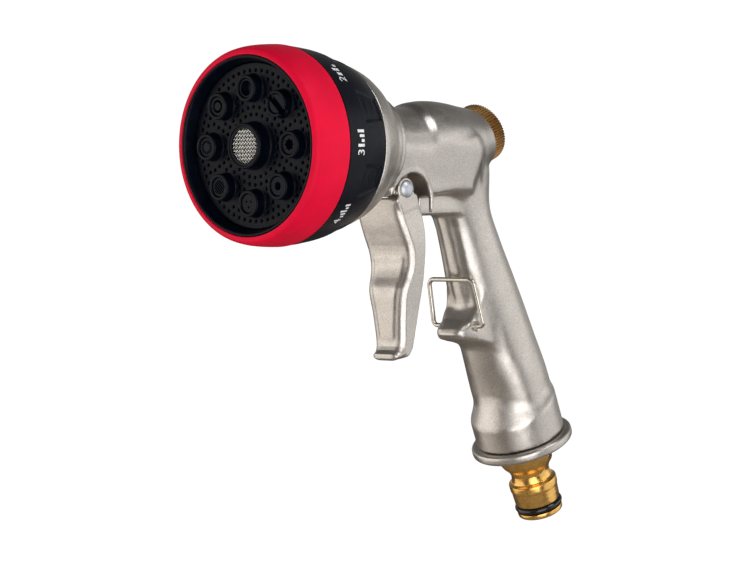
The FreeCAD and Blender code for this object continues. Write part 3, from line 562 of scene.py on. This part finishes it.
def base_ring(material):
    outline = softened([(103.0, 8.1), (103.0, 16.2), (103.7, FLANGE_R), (FLANGE_FOOT_S - 0.7, FLANGE_R),
                        (FLANGE_FOOT_S, FLANGE_R - 0.9), (FLANGE_FOOT_S, 8.1)], 0.6, 4)
    obj = mesh_object("foot_ring", *lathe(outline, place_handle, 160), sharp_deg=50)
    return dress(obj, material, "body", "cast_metal", "base_ring")


def hexagonal(along, radius, angle):
    """The head of the adapter is a hexagon, 18 mm across its flats."""
    if along > 113.5 or radius < 8.5:
        return along, radius
    from_flat = (angle + math.pi / 6) % (math.pi / 3) - math.pi / 6
    return along, min(radius, 9.0 / math.cos(from_flat))


def hose_adapter(material):
    seat_s = FLANGE_FOOT_S + 0.06
    outline = softened([(92.05, 4.75), (92.05, 7.4), (92.6, 7.95), (seat_s, 7.95), (seat_s, 10.2),
                        (FLANGE_FOOT_S + 0.4, 10.35), (108.4, 10.35), (112.6, 8.3), (114.2, 7.0),
                        (115.8, 6.4), (118.2, 6.7), (118.7, 7.4), (118.95, 8.05), (121.35, 8.0),
                        (122.0, 7.75), (126.55, 7.5), (126.55, 6.1), (129.05, 6.1),
                        (129.05, 7.6), (130.5, 7.55), (131.0, 7.0), (131.0, 4.75)], 0.3, 2)
    obj = mesh_object("brass_adapter", *lathe(outline, place_handle, 192, hexagonal), sharp_deg=28)
    return dress(obj, material, "body", "brass", "hose_adapter")


# ---- sprayer face --------------------------------------------------------------------------------
BOSS_CIRCLE_R = 16.9
BOSS_FRONT_Y = -12.7
BOSS_R = 4.0
BOSS_BORE_R = 2.9
HUB_FRONT_Y = -14.0
HUB_R = 6.8
HUB_BORE_R = 5.9
SHOWER_PITCH = 2.15
DIAGONAL = 0.70711          # turns the screen's wires by 45 degrees


def boss_centre(index):
    angle = math.radians(index * STEP_DEG)
    return BOSS_CIRCLE_R * math.sin(angle), BOSS_CIRCLE_R * math.cos(angle)


def shower_holes():
    """Centres of the fine holes between the bosses, in rings about the hub."""
    centres = []
    for circle_r in np.arange(9.3, 23.8, SHOWER_PITCH):
        count = round(2 * math.pi * circle_r / (SHOWER_PITCH * 1.1))
        for i in range(count):
            angle = 2 * math.pi * (i + 0.5 * (count % 2)) / count
            x, z = circle_r * math.sin(angle), circle_r * math.cos(angle)
            clear = min(math.hypot(x - bx, z - bz) for bx, bz in map(boss_centre, range(PATTERNS)))
            if clear > BOSS_R + 0.75:
                centres.append((x, z))
    return centres


def face_field(x, y, z):
    across = np.hypot(x, z)
    nearest_hole = np.full(np.broadcast(x, z).shape, 9.0)
    for hole_x, hole_z in shower_holes():
        nearest_hole = np.minimum(nearest_hole, np.hypot(x - hole_x, z - hole_z) - 0.42)
    nearest_boss = np.full(nearest_hole.shape, 99.0)
    for boss_x, boss_z in map(boss_centre, range(PATTERNS)):
        nearest_boss = np.minimum(nearest_boss, np.hypot(x - boss_x, z - boss_z))
    plate = np.maximum(np.abs(y - FACE_Y - 1.0) - 1.0, across - DIAL_BORE_R + 0.1)
    plate = cut_by(plate, np.maximum(nearest_hole, y - FACE_Y - 1.3), 0.2)
    boss = within(nearest_boss - BOSS_R, np.maximum(BOSS_FRONT_Y - y, y - FACE_Y - 0.8), 0.5)
    hub = within(across - HUB_R, np.maximum(HUB_FRONT_Y - y, y - FACE_Y - 0.8), 0.7)
    face = blend_in(blend_in(plate, boss, 0.7), hub, 0.9)
    face = cut_by(face, nearest_boss - BOSS_BORE_R, 0.3)
    face = cut_by(face, across - HUB_BORE_R, 0.3)
    # the fan boss is slotted right across, along the circle of bosses
    slot_x, slot_z = boss_centre(1)
    outward = (x * slot_x + z * slot_z) / BOSS_CIRCLE_R - BOSS_CIRCLE_R
    along = (x * slot_z - z * slot_x) / BOSS_CIRCLE_R
    slot = np.maximum(np.maximum(np.abs(outward) - 0.9, np.abs(along) - 5.0), y - BOSS_FRONT_Y - 2.0)
    return cut_by(face, slot, 0.25)


def face_plate(material):
    low, high = (0, HUB_FRONT_Y - 0.5, -25), (25, FACE_Y + 2.5, 25)
    points, quads = skin_of(face_field, low, high, 0.2, mirror=False)
    obj = mesh_object("sprayer_face", points, quads, sharp_deg=50)
    return dress(obj, material, "dial", "dial_plastic", "face_plate")


def insert_openings(kind, u, v):
    """Field of the openings in one insert: u along the circle of bosses, v outwards."""
    across = np.hypot(u, v)
    if kind == "gush":
        return across - 2.2
    if kind == "fan":
        return np.maximum(np.abs(v) - 0.9, np.abs(u) - 4.0)
    if kind == "full":
        lobes = np.abs(((np.degrees(np.arctan2(u, v)) + 22.5) % 45.0) - 22.5)
        return across - 1.35 - 0.5 * np.clip(1 - lobes / 14.0, 0, 1)
    if kind == "jet":
        return across - 1.15
    if kind == "drip":
        drops = [np.hypot(u - du, v - dv) for du, dv in ((0, 1.1), (0.95, -0.55), (-0.95, -0.55))]
        return np.minimum.reduce(drops) - 0.3
    if kind == "soak":
        slats = np.abs(((v + 0.35) % 0.7) - 0.35) - 0.17
        return np.maximum(slats, across - 2.1)
    if kind == "mist":
        tooth = np.abs(((np.degrees(np.arctan2(u, v)) + 12) % 24.0) - 12) / 57.3 * across - 0.17
        return np.maximum(tooth, np.abs(across - 1.75) - 0.4)
    return np.abs(across - 1.6) - 0.28


def nozzle_insert(kind, index, material):
    front_y = BOSS_FRONT_Y + 0.45
    span = np.arange(-3.3, 3.31, 0.1)
    u, v = span[:, None, None], span[None, None, :]
    y = np.arange(front_y - 0.4, front_y + 3.2, 0.1)[None, :, None]
    across = np.hypot(u, v)
    body = within(across - BOSS_BORE_R + 0.03, np.maximum(front_y - y, y - front_y - 2.9), 0.3)
    opening = np.maximum(insert_openings(kind, u, v), y - front_y - 1.9)
    points, quads = surface(cut_by(body, opening, 0.12), 0.1, (span[0], y.flat[0], span[0]))
    angle = math.radians(index * STEP_DEG)
    turn = Matrix.Rotation(angle, 3, "Y")
    points = (points + np.array([0, 0, BOSS_CIRCLE_R])) @ np.array(turn).T
    obj = mesh_object(kind + "_nozzle", points, quads, sharp_deg=50)
    return dress(obj, material, "dial", "insert_plastic", kind + "_insert")


INSERTS = ("gush", "fan", "full", "jet", "drip", "soak", "mist", "cone")


def woven_screen(material):
    """Two families of wires at 45 degrees, each passing over and under the other."""
    pitch, wire_r, sides, steps = 0.82, 0.17, 6, 4
    reach = HUB_BORE_R - 0.12
    parts = []
    rows = int(reach / pitch)
    for family in (0, 1):
        for row in range(-rows, rows + 1):
            offset = row * pitch
            half = math.sqrt(max(reach ** 2 - offset ** 2, 0.04))
            count = max(2, int(2 * half / (pitch / steps)))
            path = []
            for i in range(count + 1):
                t = -half + 2 * half * i / count
                lift = wire_r * 0.95 * math.cos(math.pi * t / pitch + math.pi * (row + family))
                a, b = (t, offset) if family == 0 else (offset, t)
                path.append(np.array([(a - b) * DIAGONAL, HUB_FRONT_Y + 1.15 + lift, (a + b) * DIAGONAL]))
            parts.append(tube(path, wire_r, sides))
    obj = mesh_object("woven_screen", *merged(parts), sharp_deg=80)
    return dress(obj, material, "dial", "stainless_mesh", "mesh_screen")


def tube(path, radius, sides):
    """A round tube along a path of points, closed at its ends."""
    points, faces = [], []
    for i, here in enumerate(path):
        ahead = path[min(i + 1, len(path) - 1)] - path[max(i - 1, 0)]
        ahead = ahead / np.linalg.norm(ahead)
        side = np.cross(ahead, [0.0, 1.0, 0.0])
        side = side / np.linalg.norm(side)
        up = np.cross(side, ahead)
        for k in range(sides):
            angle = 2 * math.pi * k / sides
            points.append(here + radius * (math.cos(angle) * side + math.sin(angle) * up))
    for i in range(len(path) - 1):
        for k in range(sides):
            m = (k + 1) % sides
            faces.append((i * sides + k, i * sides + m, (i + 1) * sides + m, (i + 1) * sides + k))
    faces.append(tuple(range(sides))[::-1])
    faces.append(tuple((len(path) - 1) * sides + k for k in range(sides)))
    return np.array(points), faces


# ---- marks on the dial ---------------------------------------------------------------------------
MARK_Y = 5.0
MARK_HEIGHT = 3.1
MARK_LIFT = 0.05


def flat_glyph(text):
    """A character of the plain built-in font as flat points and faces, about 0.7 high."""
    curve = bpy.data.curves.new("glyph", "FONT")
    curve.body = text
    curve.align_x = "CENTER"
    holder = bpy.data.objects.new("glyph", curve)
    bpy.context.scene.collection.objects.link(holder)
    bpy.context.view_layer.update()
    mesh = bpy.data.meshes.new_from_object(holder.evaluated_get(bpy.context.evaluated_depsgraph_get()))
    points = [(v.co.x, v.co.y) for v in mesh.vertices]
    faces = [tuple(p.vertices) for p in mesh.polygons]
    bpy.data.objects.remove(holder)
    bpy.data.meshes.remove(mesh)
    return points, faces


def flat_bar(u0, u1, v0, v1, slices=4):
    """A small bar, cut into slices so that it can follow the dial."""
    points, faces = [], []
    for i in range(slices + 1):
        u = u0 + (u1 - u0) * i / slices
        points += [(u, v0), (u, v1)]
        if i:
            faces.append((2 * i - 2, 2 * i, 2 * i + 1, 2 * i - 1))
    return points, faces


def spray_sign(index):
    """A generic sign for a spray: more and finer bars for a finer spray."""
    bars = 2 + index % 4
    width = 5.6 / bars
    signs = []
    for i in range(bars):
        start = i * width - 1.0
        height = MARK_HEIGHT * (0.45 + 0.55 * ((i + index) % 3) / 2)
        signs.append(flat_bar(start, start + width * 0.6, 0.0, height))
    return signs


def wrap_on_dial(part, index):
    """Lay flat points on the dial: u runs up its right-hand side, v towards the soft ring."""
    points, faces = part
    wrapped = []
    for u, v in points:
        along = MARK_Y + MARK_HEIGHT / 2 - v
        radius = dial_radius(along) + MARK_LIFT
        angle = math.radians(index * STEP_DEG) - u / radius
        wrapped.append(place_y(along, radius, angle))
    return np.array(wrapped), faces


def dial_marks(material):
    parts = []
    scale = MARK_HEIGHT / 0.69
    for index in range(PATTERNS):
        points, faces = flat_glyph(str(index + 1))
        digit = [(u * scale - 2.6, v * scale) for u, v in points], faces
        parts.append(wrap_on_dial(digit, index))
        parts += [wrap_on_dial(bar, index) for bar in spray_sign(index)]
    points, faces = merged(parts)
    obj = mesh_object("dial_marks", points, faces)
    return dress(obj, material, "dial", "mark_white")


# ---- materials -----------------------------------------------------------------------------------
class Look:
    """A Principled material with helpers for its noise, colour variation and bump."""

    def __init__(self, name, color, roughness, metallic=0.0, **sockets):
        self.material = bpy.data.materials.new(name)
        self.material.use_nodes = True
        self.nodes = self.material.node_tree.nodes
        self.links = self.material.node_tree.links
        self.shader = self.nodes["Principled BSDF"]
        self.color = color
        self.set("Base Color", (*color, 1.0))
        self.set("Roughness", roughness)
        self.set("Metallic", metallic)
        for socket, value in sockets.items():
            self.set(socket.replace("_", " "), value)
        self.place = self.nodes.new("ShaderNodeTexCoord").outputs["Object"]

    def set(self, socket, value):
        self.shader.inputs[socket].default_value = value

    def noise(self, size, detail=3.0):
        """Noise whose blotches are about size metres across."""
        node = self.nodes.new("ShaderNodeTexNoise")
        node.inputs["Scale"].default_value = 1.0 / size
        node.inputs["Detail"].default_value = detail
        self.links.new(self.place, node.inputs["Vector"])
        return node.outputs["Fac"]

    def tint(self, source, dark, light, low=0.35, high=0.65):
        """Vary the base colour between dark and light times the material's colour."""
        ramp = self.nodes.new("ShaderNodeValToRGB")
        ramp.color_ramp.elements[0].position = low
        ramp.color_ramp.elements[1].position = high
        ramp.color_ramp.elements[0].color = (*[c * dark for c in self.color], 1.0)
        ramp.color_ramp.elements[1].color = (*[min(c * light, 1.0) for c in self.color], 1.0)
        self.links.new(source, ramp.inputs["Fac"])
        self.links.new(ramp.outputs["Color"], self.shader.inputs["Base Color"])
        return self

    def vary_roughness(self, source, low, high):
        spread = self.nodes.new("ShaderNodeMapRange")
        spread.inputs["From Min"].default_value = 0.3
        spread.inputs["From Max"].default_value = 0.7
        spread.inputs["To Min"].default_value = low
        spread.inputs["To Max"].default_value = high
        self.links.new(source, spread.inputs["Value"])
        self.links.new(spread.outputs["Result"], self.shader.inputs["Roughness"])
        return self

    def bump(self, source, depth):
        """Bump of that depth in metres, added to any bump already there."""
        node = self.nodes.new("ShaderNodeBump")
        node.inputs["Strength"].default_value = 1.0
        node.inputs["Distance"].default_value = depth
        self.links.new(source, node.inputs["Height"])
        if self.shader.inputs["Normal"].links:
            self.links.new(self.shader.inputs["Normal"].links[0].from_socket, node.inputs["Normal"])
        self.links.new(node.outputs["Normal"], self.shader.inputs["Normal"])
        return self


def cast_look(name, color, roughness):
    """Satin nickel over a bead-blasted die casting."""
    look = Look(name, color, roughness, 1.0)
    grain = look.noise(0.00035, 4.0)
    look.tint(grain, 0.80, 1.14)
    look.vary_roughness(look.noise(0.004, 2.0), roughness - 0.05, roughness + 0.06)
    look.bump(grain, 0.00004)
    look.bump(look.noise(0.006, 2.0), 0.00012)
    return look.material


def rubber_look():
    look = Look("soft_red", (0.86, 0.001, 0.040), 0.55, Specular_IOR_Level=0.16)
    grain = look.noise(0.0004, 2.0)
    look.tint(look.noise(0.008, 3.0), 0.93, 1.04)
    look.bump(grain, 0.000018)
    return look.material


def moulded_look(name, color, roughness):
    """Blue-black moulded plastic."""
    look = Look(name, color, roughness, Specular_IOR_Level=0.13)
    grain = look.noise(0.0005, 3.0)
    look.tint(look.noise(0.003, 4.0), 0.75, 1.5)
    look.vary_roughness(grain, roughness - 0.08, roughness + 0.1)
    look.bump(grain, 0.00002)
    return look.material


def turned_look(name, color, roughness, ring_size):
    """Machined metal with fine tool marks along the hose axis."""
    look = Look(name, color, roughness, 1.0)
    turn = look.nodes.new("ShaderNodeMapping")
    turn.inputs["Rotation"].default_value = (math.atan2(HANDLE_DOWN[1], -HANDLE_DOWN[2]) * -1, 0.0, 0.0)
    look.links.new(look.place, turn.inputs["Vector"])
    rings = look.nodes.new("ShaderNodeTexWave")
    rings.wave_type = "BANDS"
    rings.bands_direction = "Z"
    rings.inputs["Scale"].default_value = 1.0 / ring_size / 20
    rings.inputs["Distortion"].default_value = 1.5
    rings.inputs["Detail"].default_value = 3.0
    look.links.new(turn.outputs["Vector"], rings.inputs["Vector"])
    look.tint(look.noise(0.002, 3.0), 0.88, 1.08)
    look.vary_roughness(look.noise(0.0015, 3.0), roughness - 0.05, roughness + 0.08)
    look.bump(rings.outputs["Fac"], 0.000012)
    return look.material


def plain_look(name, color, roughness, metallic=0.0, grain_size=0.0006, depth=0.00001, **sockets):
    look = Look(name, color, roughness, metallic, **sockets)
    grain = look.noise(grain_size, 3.0)
    look.tint(grain, 0.9, 1.08)
    look.bump(grain, depth)
    return look.material


LOOKS = {
    "soft_grip": rubber_look(),
    "dial_plastic": moulded_look("dial_black", (0.0012, 0.0024, 0.0068), 0.36),
    "insert_plastic": moulded_look("insert_black", (0.0012, 0.0024, 0.0068), 0.30),
    "cast_metal": cast_look("cast_nickel", (0.60, 0.565, 0.525), 0.35),
    "brass": turned_look("golden_brass", (0.90, 0.53, 0.15), 0.24, 0.00025),
    "knob_brass": plain_look("brown_brass", (0.34, 0.19, 0.065), 0.38, 1.0, 0.0008, 0.00003),
    "bail_wire": plain_look("bail_steel", (0.62, 0.58, 0.52), 0.24, 1.0, 0.0008, 0.000008),
    "stainless_mesh": plain_look("screen_steel", (0.80, 0.79, 0.76), 0.25, 1.0, 0.0006, 0.000004),
    "rivet_metal": plain_look("rivet_alloy", (0.62, 0.65, 0.70), 0.5, 1.0, 0.0012, 0.000012),
    "seal_rubber": plain_look("seal_black", (0.008, 0.008, 0.009), 0.16, 0.0, 0.0015, 0.000006,
                              Specular_IOR_Level=0.6),
    "spring_steel": plain_look("spring_steel", (0.55, 0.55, 0.55), 0.28, 1.0),
    "mark_white": plain_look("mark_white", (0.90, 0.92, 0.95), 0.5, 0.0, 0.001, 0.000004),
}

for subpart in frame["record"]["subparts"]:
    node = frame["nodes"][subpart["node"]]
    node.data.materials.clear()
    node.data.materials.append(LOOKS[subpart["material_slot"]])

body_casting(LOOKS["cast_metal"])
trigger(LOOKS["cast_metal"])
front_bell(LOOKS["cast_metal"])
base_ring(LOOKS["cast_metal"])
grip_ring(LOOKS["soft_grip"])
dial_shell(LOOKS["dial_plastic"])
face_plate(LOOKS["dial_plastic"])
for position, spray in enumerate(INSERTS):
    nozzle_insert(spray, position, LOOKS["insert_plastic"])
woven_screen(LOOKS["stainless_mesh"])
dial_marks(LOOKS["mark_white"])
flow_knob(LOOKS["knob_brass"])
hose_adapter(LOOKS["brass"])


# ---- stage, lights and camera --------------------------------------------------------------------
FLOOR_DROP = 0.6            # far enough below for light to reach the undersides
FLOOR_SIZE = 40.0


def pale_floor():
    """White to the camera, and a warm grey to the object."""
    low = cad_box[0]
    mesh = bpy.data.meshes.new("floor")
    half = FLOOR_SIZE / 2
    z = low[2] - FLOOR_DROP
    corners = [(-half, -half, z), (half, -half, z), (half, half, z), (-half, half, z)]
    mesh.from_pydata(corners, [], [(0, 1, 2, 3)])
    floor = bpy.data.objects.new("floor", mesh)
    bpy.context.scene.collection.objects.link(floor)
    look = Look("pale_floor", (0.42, 0.38, 0.34), 0.9, Emission_Color=(1.0, 1.0, 1.0, 1.0))
    seen = look.nodes.new("ShaderNodeLightPath")
    look.links.new(seen.outputs["Is Camera Ray"], look.shader.inputs["Emission Strength"])
    floor.data.materials.append(look.material)


def softbox(name, azimuth, elevation, distance, size, power, target, color=(1.0, 1.0, 1.0)):
    """A rectangular light, placed by compass angle: 0 is in front of the sprayer, 90 to its +X side."""
    turn, lift = math.radians(azimuth), math.radians(elevation)
    offset = Vector((math.sin(turn) * math.cos(lift), -math.cos(turn) * math.cos(lift), math.sin(lift)))
    data = bpy.data.lights.new(name, "AREA")
    data.shape = "RECTANGLE"
    data.size, data.size_y = size
    data.energy = power
    data.color = color
    light = bpy.data.objects.new(name, data)
    light.location = target + offset * distance
    light.visible_camera = False
    light.rotation_euler = (-offset).to_track_quat("-Z", "Y").to_euler()
    bpy.context.scene.collection.objects.link(light)


# how bright the room is, as (height from 0 below to 1 above, brightness)
ROOM_GLOW = ((0.40, 0.42), (0.56, 0.46), (0.68, 0.24), (0.84, 0.13))


def studio_world():
    """White to the camera; a soft room with a darker ceiling for what the object reflects."""
    world = bpy.data.worlds.new("studio")
    bpy.context.scene.world = world
    world.use_nodes = True
    nodes, links = world.node_tree.nodes, world.node_tree.links
    nodes.clear()
    place = nodes.new("ShaderNodeTexCoord")
    split = nodes.new("ShaderNodeSeparateXYZ")
    links.new(place.outputs["Generated"], split.inputs["Vector"])
    ramp = nodes.new("ShaderNodeValToRGB")
    ramp.color_ramp.elements[0].position = 0.0
    ramp.color_ramp.elements[0].color = (0.30, 0.26, 0.22, 1)
    ramp.color_ramp.elements[1].position = 1.0
    ramp.color_ramp.elements[1].color = (0.03, 0.03, 0.03, 1)
    for position, value in ROOM_GLOW:
        ramp.color_ramp.elements.new(position).color = (value, value * 0.98, value * 0.95, 1)
    lift = nodes.new("ShaderNodeMapRange")
    lift.inputs["From Min"].default_value = -1.0
    links.new(split.outputs["Z"], lift.inputs["Value"])
    links.new(lift.outputs["Result"], ramp.inputs["Fac"])
    room = nodes.new("ShaderNodeBackground")
    room.inputs["Strength"].default_value = 1.0
    links.new(ramp.outputs["Color"], room.inputs["Color"])
    backdrop = nodes.new("ShaderNodeBackground")
    backdrop.inputs["Color"].default_value = (1.0, 1.0, 1.0, 1.0)
    backdrop.inputs["Strength"].default_value = 1.05
    seen = nodes.new("ShaderNodeLightPath")
    mix = nodes.new("ShaderNodeMixShader")
    links.new(seen.outputs["Is Camera Ray"], mix.inputs["Fac"])
    links.new(room.outputs["Background"], mix.inputs[1])
    links.new(backdrop.outputs["Background"], mix.inputs[2])
    output = nodes.new("ShaderNodeOutputWorld")
    links.new(mix.outputs["Shader"], output.inputs["Surface"])


CAMERA_AZIMUTH = 41.618
CAMERA_ELEVATION = 2.203
CAMERA_ROLL = -1.141
CAMERA_PLACE = Vector((0.53394, -0.67810, 0.10100))
CAMERA_LENS = 124.8


def camera():
    data = bpy.data.cameras.new("camera")
    data.lens = CAMERA_LENS
    data.sensor_width = 36.0
    data.clip_end = 100.0
    turn, drop = math.radians(CAMERA_AZIMUTH), math.radians(CAMERA_ELEVATION)
    ahead = Vector((-math.sin(turn) * math.cos(drop), math.cos(turn) * math.cos(drop), -math.sin(drop)))
    aim = ahead.to_track_quat("-Z", "Y").to_matrix()
    obj = bpy.data.objects.new("camera", data)
    obj.matrix_world = Matrix.Translation(CAMERA_PLACE) @ (aim @ Matrix.Rotation(
        math.radians(CAMERA_ROLL), 3, "Z")).to_4x4()
    bpy.context.scene.collection.objects.link(obj)
    bpy.context.scene.camera = obj


pale_floor()
studio_world()
target = Vector((0.0, -0.04, 0.07))
softbox("front_light", 50.0, -9.0, 0.8, (0.62, 0.9), 4.2, target)
softbox("left_wall", -46.0, -6.0, 0.9, (1.2, 1.1), 4.4, target, (1.0, 0.94, 0.88))
softbox("high_key", 93.0, 52.0, 1.0, (0.36, 0.36), 2.4, target)
softbox("right_wall", 130.0, -4.0, 0.9, (1.2, 1.1), 3.2, target)
bpy.context.scene.view_settings.view_transform = "Standard"
camera()
